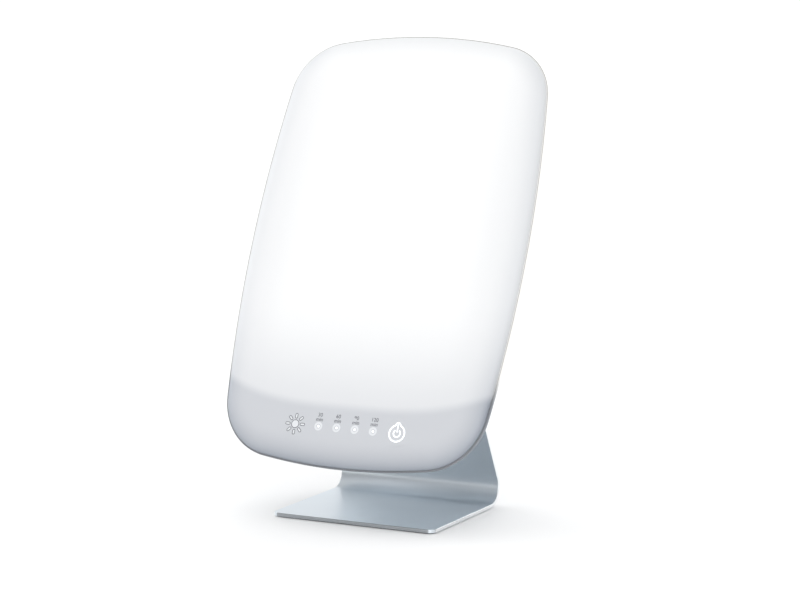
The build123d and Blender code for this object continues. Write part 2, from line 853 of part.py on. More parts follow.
with BuildPart() as hinge_bracket:
    with BuildSketch(across_head(head_depth)):
        with Locations((0, pivot_y)):
            RectangleRounded(bracket_width, bracket_height, bracket_corner_r)
    extrude(amount=-bracket_thickness)
    for start in (-ear_outer_x, ear_inner_x):
        with BuildSketch(across_axis(start, up_head)):
            Circle(ear_r)
            with Locations((0, axis_standoff - bracket_thickness / 2)):
                Rectangle(ear_root, bracket_thickness)
            make_hull()
        extrude(amount=ear_thickness)
    with BuildSketch(across_axis(-ear_outer_x, up_head)):
        Circle(pin_r + pin_clearance)
    extrude(amount=2 * ear_outer_x, mode=Mode.SUBTRACT)
    studs(bracket_screw_places, m4_r + screw_clearance, head_depth, bracket_face, Mode.SUBTRACT)

with BuildPart() as backing_plate:
    with BuildSketch(across_head(rear_inside - backing_thickness)):
        with Locations((0, pivot_y)):
            backing_width = bracket_width - 2 * backing_margin
            backing_height = bracket_height - 2 * backing_margin
            RectangleRounded(backing_width, backing_height, bracket_corner_r)
    extrude(amount=-backing_thickness)
    hole_r = m4_r + thread_clearance
    backing_front = rear_inside - backing_thickness
    studs(bracket_screw_places, hole_r, backing_front, rear_inside, Mode.SUBTRACT)

with BuildPart() as bracket_screws:
    seat = across_head(bracket_face)
    bracket_grip = bracket_thickness + rear_wall + backing_thickness
    length = bracket_grip + bracket_screw_end
    places = bracket_screw_places
    screws(seat, places, m4_r, m4_head_r, m4_head_height, length, toward=-1)


def rings(starts, outer_r, inner_r, thickness):
    """Flat rings round the hinge axis, in the current part."""
    for start in starts:
        with BuildSketch(across_axis(start, up_head)) as face:
            Circle(outer_r)
            Circle(inner_r, mode=Mode.SUBTRACT)
        extrude(face.sketch, amount=thickness)


pin_hole_r = pin_r + pin_clearance
nut_x = ear_outer_x + disc_spring_thickness
pin_end_x = nut_x + nut_thickness + pin_end
cap_depth = pin_end_x - ear_outer_x + cap_clearance

with BuildPart() as hinge_pin:
    with BuildSketch(across_axis(-ear_outer_x, up_head)):
        Circle(pin_r)
    extrude(amount=ear_outer_x + pin_end_x)
    with BuildSketch(across_axis(-ear_outer_x, up_head)):
        Circle(pin_head_r)
    extrude(amount=-pin_head_thickness)

with BuildPart() as friction_washers:
    starts = (-ear_inner_x, ear_inner_x - washer_thickness)
    rings(starts, washer_r, pin_hole_r, washer_thickness)

with BuildPart() as disc_spring:
    rings([ear_outer_x], disc_spring_r, pin_hole_r, disc_spring_thickness)

with BuildPart() as hinge_nut:
    with BuildSketch(across_axis(nut_x, up_head)):
        RegularPolygon(nut_across / 2, 6, major_radius=False)
        Circle(pin_r + thread_clearance, mode=Mode.SUBTRACT)
    extrude(amount=nut_thickness)

with BuildPart() as hinge_caps:
    for side in (-1, 1):
        inner_r = disc_spring_r + cap_clearance
        with BuildSketch(across_axis(side * ear_outer_x, up_head)):
            Circle(inner_r + cap_wall)
        extrude(amount=side * (cap_depth + cap_wall))
        end_face = across_axis(side * (ear_outer_x + cap_depth + cap_wall), up_head)
        rim = hinge_caps.edges().filter_by(lambda edge: on_plane(edge, end_face))
        fillet(rim, cap_wall)
        with BuildSketch(across_axis(side * ear_outer_x, up_head)):
            Circle(inner_r)
        extrude(amount=side * cap_depth, mode=Mode.SUBTRACT)

# ---------------------------------------------------------------- files

pieces = {
    "base_pad": base_pad,
    "stand_plate": stand_plate,
    "hinge_block": hinge_block,
    "block_screws": block_screws,
    "front_screen": front_screen,
    "rear_cover": rear_cover,
    "cover_screws": cover_screws,
    "reflector_tray": reflector_tray,
    "tray_screws": tray_screws,
    "diffuser_sheet": diffuser_sheet,
    "strip_leds": strip_leds,
    "strip_links": strip_links,
    "control_carrier": control_carrier,
    "control_board": control_board,
    "control_screws": control_screws,
    "timer_light_guides": timer_light_guides,
    "timer_leds": timer_leds,
    "driver_board": driver_board,
    "driver_screws": driver_screws,
    "driver_capacitors": driver_capacitors,
    "driver_coil": driver_coil,
    "driver_chips": driver_chips,
    "driver_plugs": driver_plugs,
    "board_link": board_link,
    "dc_inlet": dc_inlet,
    "inlet_nut": inlet_nut,
    "led_lead": led_lead,
    "inlet_lead": inlet_lead,
    "hinge_bracket": hinge_bracket,
    "backing_plate": backing_plate,
    "bracket_screws": bracket_screws,
    "hinge_pin": hinge_pin,
    "friction_washers": friction_washers,
    "disc_spring": disc_spring,
    "hinge_nut": hinge_nut,
    "hinge_caps": hinge_caps,
}
for number, led_strip in enumerate(led_strips, start=1):
    pieces[f"led_strip_{number}"] = led_strip
for name in key_places:
    pieces[f"{name}_switch"] = switches[name]
    pieces[f"{name}_plunger"] = plungers[name]
    pieces[f"{name}_key"] = keys[name]

os.makedirs("parts", exist_ok=True)
for name, piece in pieces.items():
    piece.part.label = name
    export_step(piece.part, f"parts/{name}.step")
print(len(pieces), "pieces written")
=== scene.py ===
# %% [markdown]
# # A light therapy lamp
# A large opal screen in a slim white head leans back on a stand that is bent from one sheet of
# aluminium. The exact solids come from the CAD model. This notebook adds what the solids don't
# have: the finishes, the printed marks, the glow of the screen, and a small studio.

import json
from math import atan, cos, degrees, pi, radians, sin

import bpy
from mathutils import Matrix, Vector
from mathutils.geometry import convex_hull_2d


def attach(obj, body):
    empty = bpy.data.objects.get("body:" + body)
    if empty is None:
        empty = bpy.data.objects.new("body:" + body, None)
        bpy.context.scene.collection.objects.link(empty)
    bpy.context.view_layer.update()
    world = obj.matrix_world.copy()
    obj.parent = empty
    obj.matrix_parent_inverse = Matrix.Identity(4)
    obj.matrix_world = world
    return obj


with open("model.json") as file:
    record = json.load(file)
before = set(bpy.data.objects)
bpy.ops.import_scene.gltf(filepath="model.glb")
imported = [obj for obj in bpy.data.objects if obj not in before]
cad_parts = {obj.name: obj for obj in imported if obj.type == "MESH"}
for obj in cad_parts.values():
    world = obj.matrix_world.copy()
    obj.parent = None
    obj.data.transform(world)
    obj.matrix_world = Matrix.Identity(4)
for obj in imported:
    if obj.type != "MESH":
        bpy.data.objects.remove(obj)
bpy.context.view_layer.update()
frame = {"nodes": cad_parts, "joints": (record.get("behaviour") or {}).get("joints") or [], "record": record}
nodes = frame["nodes"]
joints = {joint["name"]: joint for joint in frame["joints"]}
print("CAD nodes:", len(nodes))

# %% [markdown]
# ## The head's own directions
# The head leans back, so heights along the screen aren't heights above the table. Each key is
# pressed straight into the head, and the CAD record holds that direction. Turned round, it points
# out of the screen. Crossed with the direction to the right, it gives the direction up the screen.
# With these three, a mark can be placed by its height on the screen, as a printer would place it.

# %% Directions and distances on the head
right = Vector((1, 0, 0))
out = -Vector(joints["power_press"]["axis"]).normalized()
up = out.cross(right)


def reach(node, direction):
    """The lowest and highest distance of a CAD node along a direction."""
    distances = [vertex.co.dot(direction) for vertex in nodes[node].data.vertices]
    return min(distances), max(distances)


head_low, head_high = reach("rear_cover", up)
screen_face = reach("front_screen", out)[1]


def on_screen(x, height, proud=0.0):
    """A point of the screen: to the right, up from the head's foot, and proud of the face."""
    return right * x + up * (head_low + height) + out * (screen_face + proud)


print("Head height in metres:", round(head_high - head_low, 4))
print("Lean in degrees:", round(degrees(atan(-out.z / out.y)), 2))

# %% [markdown]
# ## Shader nodes as arithmetic
# A finish is worked out from numbers that change over the surface. Blender does that with Math
# nodes, which are long to write. This small class wraps one socket of a node, so that an
# expression such as `1 - edge * 0.5` adds the Math nodes by itself.


# %% A socket that can be added and multiplied
class Socket:
    """One value, colour or vector of a material."""

    def __init__(self, tree, socket=None):
        self.tree = tree
        self.socket = socket

    def node(self, kind, inputs=(), output=0, **settings):
        """Adds a node: its settings come first, then the numbers or links of its sockets."""
        node = self.tree.nodes.new(kind)
        for name, value in settings.items():
            setattr(node, name, value)
        for name, value in dict(inputs).items():
            if isinstance(value, Socket):
                self.tree.links.new(value.socket, node.inputs[name])
            else:
                node.inputs[name].default_value = value
        return Socket(self.tree, node.outputs[output] if node.outputs else None)

    def maths(self, operation, first, second=0.0):
        return self.node("ShaderNodeMath", {0: first, 1: second}, operation=operation)

    def __add__(self, other):
        return self.maths("ADD", self, other)

    def __radd__(self, other):
        return self.maths("ADD", other, self)

    def __sub__(self, other):
        return self.maths("SUBTRACT", self, other)

    def __rsub__(self, other):
        return self.maths("SUBTRACT", other, self)

    def __mul__(self, other):
        return self.maths("MULTIPLY", self, other)

    def __rmul__(self, other):
        return self.maths("MULTIPLY", other, self)

    def __truediv__(self, other):
        return self.maths("DIVIDE", self, other)

    def __pow__(self, other):
        return self.maths("POWER", self, other)

    def __abs__(self):
        return self.maths("ABSOLUTE", self)


# %% Helpers that most finishes share
def position(start):
    """Where a point of the surface is, in metres from the middle of the stand's underside."""
    return start.node("ShaderNodeTexCoord", output="Object")


def along(start, direction):
    """The distance of the point along a direction."""
    dot = {0: position(start), 1: direction}
    return start.node("ShaderNodeVectorMath", dot, output="Value", operation="DOT_PRODUCT")


def stretched(start, scale):
    """The position, stretched by a different amount along each axis."""
    return start.node("ShaderNodeMapping", {"Vector": position(start), "Scale": scale})


def noise(start, size, detail=2.0, where=None):
    """Soft noise from 0 to 1, whose blotches are about this many metres wide."""
    inputs = {"Vector": where or position(start), "Scale": 1 / size, "Detail": detail}
    return start.node("ShaderNodeTexNoise", inputs)


def smooth_step(start, value, low, high):
    """Rises smoothly from 0 at low to 1 at high."""
    inputs = {"Value": value, "From Min": low, "From Max": high}
    return start.node("ShaderNodeMapRange", inputs, interpolation_type="SMOOTHSTEP")


def blend(start, factor, first, second):
    """A colour between two colours."""
    inputs = {"Factor": factor, 6: first, 7: second}
    return start.node("ShaderNodeMix", inputs, output=2, data_type="RGBA")


def bump(start, height, depth):
    """A normal that shows the height as relief, this many metres deep."""
    inputs = {"Height": height, "Distance": depth, "Strength": 1.0}
    return start.node("ShaderNodeBump", inputs)


def rgb(red, green, blue):
    """A colour with the alpha that a socket expects."""
    return (red, green, blue, 1.0)


def shade(colour, share):
    """A colour made lighter or darker by a share."""
    return (*(min(1.0, part * share) for part in colour[:3]), 1.0)


def finish(name, varying, **fixed):
    """A material: one Principled shader, with fixed sockets and ones that vary."""
    material = bpy.data.materials.new(name)
    material.use_nodes = True
    tree = material.node_tree
    tree.nodes.clear()
    start = Socket(tree)
    inputs = {socket.replace("_", " "): value for socket, value in fixed.items()}
    inputs.update(varying(start))
    shader = start.node("ShaderNodeBsdfPrincipled", inputs)
    start.node("ShaderNodeOutputMaterial", {"Surface": shader})
    return material


# %% [markdown]
# ## Satin aluminium
# The stand is a blasted and anodised sheet. Blasting leaves tiny pits, which blur what the metal
# reflects, so the roughness is about a third and a very fine noise gives the relief. After
# bending, the two long edges are milled, which leaves them smoother; their lighter colour is a
# painted highlight. The front edge is given a darker colour, which is painted shade. Masks on the
# distance from the middle and towards the front find these edges. An image of the metal could do
# this too, but noise has no seams and stays sharp at any distance.

# %% Satin aluminium
METAL = rgb(0.81, 0.86, 0.90)
MILLED_PAINTED_HIGHLIGHT = rgb(0.93, 0.945, 0.96)
FRONT_PAINTED_SHADE = rgb(0.40, 0.42, 0.44)
CUT_EDGE = 0.0009
to_front = Vector((0, -1, 0))
plate_half = reach("stand_plate", right)[1]
plate_front = reach("stand_plate", to_front)[1]


def blasted(start, pit_depth):
    """The relief of a blasted and anodised surface."""
    grain = noise(start, 0.0005, detail=3) + noise(start, 0.00022)
    return bump(start, grain, pit_depth)


def satin_plate(start):
    from_middle = abs(along(start, right))
    # The milled edges are smoother; their lighter colour is a painted highlight, and the front edge's darker
    # colour is painted shade.
    milled_and_highlight = smooth_step(start, from_middle, plate_half - CUT_EDGE, plate_half - CUT_EDGE / 2)
    forward = along(start, to_front)
    front = smooth_step(start, forward, plate_front - CUT_EDGE, plate_front - CUT_EDGE / 2)
    cloud = noise(start, 0.06)
    metal = blend(start, cloud, shade(METAL, 0.97), shade(METAL, 1.03))
    sides = blend(start, milled_and_highlight, metal, MILLED_PAINTED_HIGHLIGHT)
    return {
        "Base Color": blend(start, front, sides, FRONT_PAINTED_SHADE),
        "Roughness": 0.34 + 0.02 * cloud - 0.08 * milled_and_highlight,
        "Normal": blasted(start, 0.0000012),
    }


def satin_block(start):
    cloud = noise(start, 0.03)
    return {
        "Base Color": blend(start, cloud, shade(METAL, 0.95), METAL),
        "Roughness": 0.30 + 0.06 * cloud,
        "Normal": blasted(start, 0.000002),
    }


satin_aluminium = finish("satin aluminium", satin_plate, Metallic=1.0)
block_aluminium = finish("block aluminium", satin_block, Metallic=1.0)
print("Cut edges from", round(plate_half - CUT_EDGE, 4), "to", round(plate_half, 4))

# %% [markdown]
# ## The opal screen
# The screen is one moulding of milky acrylic. The light engine behind it fills the large upper
# part. Below a shallow arc, the material is the same but nothing lights it. The light also gets
# weaker where the moulding curves back to its rim, and towards the band. So one material is
# enough: a pale gloss plastic whose emission is worked out from the height on the screen, the
# distance to the side and how far the surface lies behind the face. Where the moulding curves
# back to its rim, its colour turns darker and cooler: that is painted shade.

# %% Where the screen is lit
PALE = rgb(0.55, 0.56, 0.585)
RIM_PAINTED_SHADE = rgb(0.275, 0.30, 0.345)
BAND_MIDDLE = 0.0664
BAND_RISE = 0.0266
BAND_HALF_WIDTH = 0.161
BAND_CURVE = 3.2
BAND_BLUR = 0.0065
GLOW_FLOOR = 0.13
GLOW_FULL = 0.35
GLOW_TINT = rgb(1.0, 0.965, 0.88)
RISE_START = -0.03
RISE_END = 0.12
SIDE_LOSS = 0.22
SIDE_START = 0.07
SIDE_END = 0.02
RIM_GAIN = 0.5
EDGE_DEPTH = 0.010
screen_half = reach("front_screen", right)[1]


def behind_face(start):
    """How far a point lies behind the screen's face."""
    return screen_face - along(start, out)


def above_band(start):
    """How far a point lies above the arc that bounds the unlit band."""
    sideways = abs(along(start, right)) / BAND_HALF_WIDTH
    border = BAND_MIDDLE + BAND_RISE * sideways**BAND_CURVE
    return along(start, up) - head_low - border


def glow(start):
    """How brightly the screen is lit at a point."""
    above = above_band(start)
    depth = behind_face(start)
    from_middle = abs(along(start, right))
    lit = smooth_step(start, above, -BAND_BLUR, BAND_BLUR)
    rising = smooth_step(start, above, RISE_START, RISE_END)
    strength = GLOW_FLOOR + (GLOW_FULL - GLOW_FLOOR) * rising
    inner, outer = screen_half - SIDE_START, screen_half - SIDE_END
    side_loss = SIDE_LOSS * rising * smooth_step(start, from_middle, inner, outer)
    rim = smooth_step(start, depth, 0.0, EDGE_DEPTH)
    return lit * strength * (1 - side_loss) * (1 + RIM_GAIN * rim)


def opal(start):
    light = glow(start)
    # Painted shade: the colour turns darker and cooler where the moulding curves back to its rim.
    rim = smooth_step(start, behind_face(start), -EDGE_DEPTH, EDGE_DEPTH) * 2 - 1
    cloud = noise(start, 0.02)
    pale = blend(start, cloud, shade(PALE, 0.995), shade(PALE, 1.005))
    return {
        "Base Color": blend(start, rim, pale, RIM_PAINTED_SHADE),
        "Roughness": 0.34 + 0.03 * noise(start, 0.004),
        "Emission Color": blend(start, light, rgb(0, 0, 0), GLOW_TINT),
        "Normal": bump(start, noise(start, 0.0008), 0.000004),
    }


opal_screen = finish("opal screen", opal, Emission_Strength=1.0, IOR=1.49)
print("Band up to", BAND_MIDDLE, "at the middle and", BAND_MIDDLE + BAND_RISE, "at the sides")

# %% [markdown]
# ## Keys, shells and other plastics
# Mould makers spark-erode the steel of a mould to give plastic a fine, even texture that hides
# marks. On the white shells it shows as a soft sheen. The rim of the rear cover is grey. It and
# the seal in front of it are given a painted glow that stands in for light from the screen beside
# them. The keys are the same material as the screen's band. Small parts such as the inlet are
# dark and a little glossier.


# %% Plastics
def moulded(colour, rough, texture, depth):
    """A moulded plastic: faint clouds in its colour and a spark-eroded texture."""

    def varying(start):
        cloud = noise(start, 0.015)
        grain = noise(start, texture, detail=3)
        return {
            "Base Color": blend(start, cloud, shade(colour, 0.985), shade(colour, 1.015)),
            "Roughness": rough + 0.08 * (grain - 0.5),
            "Normal": bump(start, grain, depth),
        }

    return varying


RIM_END = 0.0155
RIM_BLUR = 0.0008
PAINTED_GLOW_END = 0.03


def beside_screen(colour, rim_colour, painted_glow):
    """A moulded plastic whose rim has its own colour and a painted glow standing in for the screen's light.
    """

    def varying(start):
        rim = 1 - smooth_step(start, behind_face(start), RIM_END, RIM_END + RIM_BLUR)
        lit = smooth_step(start, above_band(start), -BAND_BLUR, PAINTED_GLOW_END)
        grain = noise(start, 0.0006, detail=3)
        return {
            "Base Color": blend(start, rim, colour, rim_colour),
            "Roughness": 0.42 + 0.08 * grain,
            # Painted glow: the rim emits a share of the screen's light, as if lit by it.
            "Emission Color": blend(start, rim * lit * painted_glow, rgb(0, 0, 0), GLOW_TINT),
            "Normal": bump(start, grain, 0.00002),
        }

    return varying


WHITE_PLASTIC = rgb(0.70, 0.71, 0.73)
RIM_GREY = rgb(0.24, 0.26, 0.29)
SEAL_GREY = rgb(0.235, 0.24, 0.25)
# Shares of the screen's light given to the cover's rim and the seal as painted glow.
COVER_PAINTED_GLOW = 0.72
SEAL_PAINTED_GLOW = 0.25
cover_finish = beside_screen(WHITE_PLASTIC, RIM_GREY, COVER_PAINTED_GLOW)
rear_shell = finish("rear shell", cover_finish, Emission_Strength=1.0)
seal_finish = beside_screen(SEAL_GREY, SEAL_GREY, SEAL_PAINTED_GLOW)
seal_rubber = finish("seal rubber", seal_finish, Emission_Strength=1.0)
white_shell = finish("white shell", moulded(WHITE_PLASTIC, 0.46, 0.0006, 0.00002))
key_face = finish("key face", moulded(PALE, 0.36, 0.0008, 0.000004), IOR=1.49)
dark_plastic = rgb(0.018, 0.018, 0.02)
black_plastic = finish("black plastic", moulded(dark_plastic, 0.42, 0.0005, 0.00001))
pad_colour = rgb(0.03, 0.031, 0.034)
rubber_pad = finish("rubber pad", moulded(pad_colour, 0.82, 0.0007, 0.00005))
cap_colour = rgb(0.36, 0.38, 0.40)
grey_cap = finish("grey cap", moulded(cap_colour, 0.40, 0.0006, 0.00001))
print("Plastics:", white_shell.name, key_face.name, black_plastic.name, rubber_pad.name)

# %% [markdown]
# ## Inside the head
# Behind the screen, white-painted sheet throws the light of the strips forwards through a frosted
# sheet. The boards have a solder mask over thin copper tracks. A Voronoi pattern measured in
# city blocks gives straight runs with square turns, much as tracks are routed.


# %% The light engine and the boards
TRACKS_IN_CELL = 24.0
TRACK_EDGES = (0.55, 0.80)


def tracks(start, size):
    """Thin straight lines with square turns, 1 on a line and 0 between."""
    inputs = {"X": along(start, right), "Y": along(start, up)}
    flat = start.node("ShaderNodeCombineXYZ", inputs)
    settings = {"distance": "MANHATTAN", "feature": "F1"}
    cells = start.node("ShaderNodeTexVoronoi", {"Vector": flat, "Scale": 1 / size}, **settings)
    wave = start.maths("SINE", cells * TRACKS_IN_CELL)
    return smooth_step(start, wave, *TRACK_EDGES)


def board(mask, copper, size):
    """A circuit board: solder mask with tracks that show through it."""

    def varying(start):
        line = tracks(start, size)
        return {
            "Base Color": blend(start, line, mask, copper),
            "Roughness": 0.32 + 0.1 * noise(start, 0.001),
            "Normal": bump(start, line, 0.00003),
        }

    return varying


def painted(start):
    skin = noise(start, 0.0012, detail=3)
    paint = rgb(0.86, 0.865, 0.86)
    return {
        "Base Color": blend(start, noise(start, 0.05), shade(paint, 0.98), paint),
        "Roughness": 0.55 + 0.1 * skin,
        "Normal": bump(start, skin, 0.00003),
    }


def frosted(start):
    grain = noise(start, 0.0004, detail=3)
    sheet = rgb(0.88, 0.90, 0.92)
    return {
        "Base Color": blend(start, grain, shade(sheet, 0.97), sheet),
        "Roughness": 0.6 + 0.15 * grain,
        "Normal": bump(start, grain, 0.00001),
    }


def phosphor(start):
    """A package whose middle holds yellow phosphor and whose border is white."""
    speck = noise(start, 0.0004, detail=3)
    gel = rgb(0.90, 0.72, 0.16)
    return {
        "Base Color": blend(start, speck, gel, shade(gel, 1.15)),
        "Roughness": 0.25 + 0.2 * speck,
        "Normal": bump(start, speck, 0.00002),
    }


def clear(start):
    haze = noise(start, 0.0008)
    white = rgb(1.0, 1.0, 1.0)
    return {
        "Base Color": blend(start, haze, rgb(0.86, 0.88, 0.92), white),
        "Roughness": 0.12 + 0.08 * haze,
        "Emission Color": blend(start, haze, rgb(0.9, 0.93, 1.0), white),
    }


white_sheet = finish("white sheet", painted)
diffuser = finish("diffuser", frosted, IOR=1.49)
strip_mask = rgb(0.80, 0.80, 0.77)
led_board = finish("led board", board(strip_mask, rgb(0.70, 0.68, 0.62), 0.012))
green_mask = rgb(0.012, 0.10, 0.035)
green_board = finish("green board", board(green_mask, rgb(0.04, 0.24, 0.09), 0.008))
led_phosphor = finish("led phosphor", phosphor)
clear_guide = finish("clear guide", clear, IOR=1.49, Emission_Strength=0.25)
print("Boards:", led_board.name, green_board.name)

# %% [markdown]
# ## Small metal parts
# Zinc plating has a pale, slightly cloudy sheen. Turned parts and screws are smoother, stamped
# ones show fine lines from the roll. The lines are noise that is stretched a lot along one axis.


# %% Plated and drawn metals
def plated(colour, rough, cloudy, lines):
    """A plated metal: cloudy patches and fine lines along the hinge's axis."""

    def varying(start):
        patch = noise(start, 0.004, detail=3)
        stripe = noise(start, 0.0004, where=stretched(start, (0.05, 1.0, 1.0)))
        return {
            "Base Color": blend(start, patch, shade(colour, 1 - cloudy), colour),
            "Roughness": rough + 0.15 * cloudy * patch,
            "Normal": bump(start, stripe, lines),
        }

    return varying


def fibre(start):
    strand = noise(start, 0.0007, detail=4, where=stretched(start, (3.0, 1.0, 1.0)))
    dark = rgb(0.11, 0.06, 0.03)
    return {
        "Base Color": blend(start, strand, dark, rgb(0.24, 0.15, 0.08)),
        "Roughness": 0.65 + 0.2 * strand,
        "Normal": bump(start, strand, 0.00003),
    }


def jacket(start):
    scuff = noise(start, 0.003, detail=3)
    red = rgb(0.42, 0.03, 0.025)
    return {
        "Base Color": blend(start, scuff, shade(red, 0.9), shade(red, 1.1)),
        "Roughness": 0.42 + 0.15 * scuff,
        "Normal": bump(start, noise(start, 0.0006), 0.00001),
    }


ZINC = rgb(0.56, 0.58, 0.60)
NICKEL = rgb(0.52, 0.51, 0.50)
TIN = rgb(0.60, 0.60, 0.60)
DRAWN = rgb(0.78, 0.79, 0.80)
zinc_steel = finish("zinc steel", plated(ZINC, 0.34, 0.12, 0.00001), Metallic=1.0)
screw_steel = finish("screw steel", plated(NICKEL, 0.28, 0.06, 0.000004), Metallic=1.0)
switch_metal = finish("switch metal", plated(TIN, 0.36, 0.05, 0.000006), Metallic=1.0)
can_aluminium = finish("can aluminium", plated(DRAWN, 0.25, 0.04, 0.000008), Metallic=1.0)
brown_washer = finish("brown washer", fibre)
lead_jacket = finish("lead jacket", jacket)
print("Metals:", zinc_steel.name, screw_steel.name, switch_metal.name, can_aluminium.name)

# %% [markdown]
# ## Giving each CAD node its finish
# The CAD record says which material slot each node takes. A node keeps its exact mesh and only
# its material is changed.

# %% Finishes onto the CAD nodes
by_slot = {
    "satin_aluminium": satin_aluminium,
    "rubber_pad": rubber_pad,
    "opal_screen": opal_screen,
    "white_shell": white_shell,
    "key_face": key_face,
    "white_sheet": white_sheet,
    "diffuser": diffuser,
    "led_board": led_board,
    "led_phosphor": led_phosphor,
    "green_board": green_board,
    "black_plastic": black_plastic,
    "clear_guide": clear_guide,
    "zinc_steel": zinc_steel,
    "screw_steel": screw_steel,
    "switch_metal": switch_metal,
    "can_aluminium": can_aluminium,
    "lead_jacket": lead_jacket,
    "brown_washer": brown_washer,
    "grey_cap": grey_cap,
}


def dress(piece, material):
    """Gives a piece one material."""
    piece.data.materials.clear()
    piece.data.materials.append(material)


for subpart in frame["record"]["subparts"]:
    dress(nodes[subpart["node"]], by_slot[subpart["material_slot"]])
dress(nodes["hinge_block"], block_aluminium)
dress(nodes["rear_cover"], rear_shell)

# %% [markdown]
# ## The seal round the screen
# A thin grey seal lies in the step between the screen and the rim of the rear cover. It draws the
# fine line round the head. Its course could be drawn as a curve, but it has to follow the cover
# exactly, so it is taken from the cover's own mesh. The mesh is copied, all but the outermost
# points in the plane of the step are deleted, and the loop of edges that is left is extruded
# inwards. The Solidify modifier gives it its height, and a small bevel rounds it.


# %% Tools for edit mode
def active():
    return bpy.context.view_layer.objects.active


def deselect():
    bpy.ops.object.select_all(action="DESELECT")


def apply_modifier(piece, kind, **settings):
    """Adds a modifier and applies it at once."""
    modifier = piece.modifiers.new(kind.lower(), kind)
    for name, value in settings.items():
        setattr(modifier, name, value)
    bpy.context.view_layer.objects.active = piece
    bpy.ops.object.modifier_apply(modifier=modifier.name)


def select_vertices(test):
    """Selects the vertices of the piece in edit mode that pass a test on their place."""
    bpy.ops.mesh.select_mode(type="VERT")
    bpy.ops.mesh.select_all(action="DESELECT")
    bpy.ops.object.mode_set(mode="OBJECT")
    for vertex in active().data.vertices:
        vertex.select = test(vertex.co)
    bpy.ops.object.mode_set(mode="EDIT")


def turn_outwards(piece):
    """Makes the faces of a piece point outwards."""
    bpy.context.view_layer.objects.active = piece
    bpy.ops.object.mode_set(mode="EDIT")
    bpy.ops.mesh.select_all(action="SELECT")
    bpy.ops.mesh.normals_make_consistent(inside=False)
    bpy.ops.object.mode_set(mode="OBJECT")


# %% The seal
STEP_DEPTH = 0.0106
STEP_TOLERANCE = 0.00001
MERGE_DISTANCE = 0.000001
SEAL_OUTER = 0.9984
SEAL_INSET = 0.9965
SEAL_HEIGHT = 0.0009
SEAL_ROUND = 0.00018
SHARP_ANGLE = radians(50)
SMOOTH_ANGLE = radians(30)
cover_mesh = nodes["rear_cover"].data
places = [vertex.co.copy() for vertex in cover_mesh.vertices]
in_step = [co for co in places if abs(screen_face - co.dot(out) - STEP_DEPTH) < STEP_TOLERANCE]
outermost = convex_hull_2d([(co.dot(right), co.dot(up)) for co in in_step])


def key_of(co):
    """A point's place, rounded so that two points can be compared."""
    return tuple(round(part, 5) for part in co)


outline = {key_of(in_step[index]) for index in outermost}
middle = on_screen(0.0, (head_high - head_low) / 2, -STEP_DEPTH)

deselect()
seal = bpy.data.objects.new("rim_seal", cover_mesh.copy())
bpy.context.collection.objects.link(seal)
bpy.context.view_layer.objects.active = seal
seal.select_set(True)
bpy.ops.object.mode_set(mode="EDIT")
bpy.ops.mesh.select_all(action="SELECT")
bpy.ops.mesh.remove_doubles(threshold=MERGE_DISTANCE)
select_vertices(lambda co: key_of(co) not in outline)
bpy.ops.mesh.delete(type="VERT")
bpy.ops.mesh.select_all(action="SELECT")
bpy.ops.transform.resize(value=(SEAL_OUTER, SEAL_OUTER, SEAL_OUTER), center_override=middle)
bpy.ops.mesh.extrude_edges_move()
bpy.ops.transform.resize(value=(SEAL_INSET, SEAL_INSET, SEAL_INSET), center_override=middle)
bpy.ops.object.mode_set(mode="OBJECT")
turn_outwards(seal)
forwards = 1.0 if seal.data.polygons[0].normal.dot(out) > 0 else -1.0
apply_modifier(seal, "SOLIDIFY", thickness=SEAL_HEIGHT, offset=forwards)
apply_modifier(seal, "BEVEL", width=SEAL_ROUND, segments=2, angle_limit=SHARP_ANGLE)
turn_outwards(seal)
bpy.ops.object.shade_smooth_by_angle(angle=SMOOTH_ANGLE)
dress(seal, seal_rubber)
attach(seal, "head")
print("Seal:", len(seal.data.polygons), "faces")

# %% [markdown]
# ## The printed marks
# The marks on the band are screen printed: a film of ink about 0.05 mm thick. Each one is drawn
# flat around the origin, given its thickness, and then carried to its place on the screen. The
# marks on the two keys ride on the keys, so that they move when a key is pressed. The ink of
# the power mark is given a painted glow, so it is brighter than white paint. The sun and the
# rings round the indicators are printed in a softer white, with a faint painted glow.


# %% Inks
def ink(colour, painted_glow_share):
    """Printed ink with a faint unevenness from the mesh of the printing screen, and a painted glow."""
    dim = 0.95 * painted_glow_share

    def varying(start):
        mesh = noise(start, 0.0005)
        return {
            "Base Color": blend(start, mesh, shade(colour, 0.94), colour),
            "Roughness": 0.5 + 0.1 * mesh,
            "Emission Color": blend(start, mesh, shade(colour, dim), shade(colour, painted_glow_share)),
        }

    return varying


GREY_INK = rgb(0.15, 0.155, 0.17)
WHITE_INK = rgb(0.95, 0.96, 0.98)
LINE_INK = rgb(0.16, 0.165, 0.18)
SOFT_INK = rgb(0.71, 0.72, 0.74)
grey_print = finish("grey print", ink(GREY_INK, 0.0), Emission_Strength=0.0)
line_print = finish("line print", ink(LINE_INK, 0.0), Emission_Strength=0.0)
# The white and soft prints emit a little: a painted glow that makes them brighter than ink.
white_print = finish("white print", ink(WHITE_INK, 0.5), Emission_Strength=1.0)
soft_print = finish("soft print", ink(SOFT_INK, 0.03), Emission_Strength=1.0)
INK_THICKNESS = 0.00005

# %% Tools for flat marks
RING_POINTS = 72
DISC_POINTS = 48
END_POINTS = 6
END_ROUNDING = 0.49


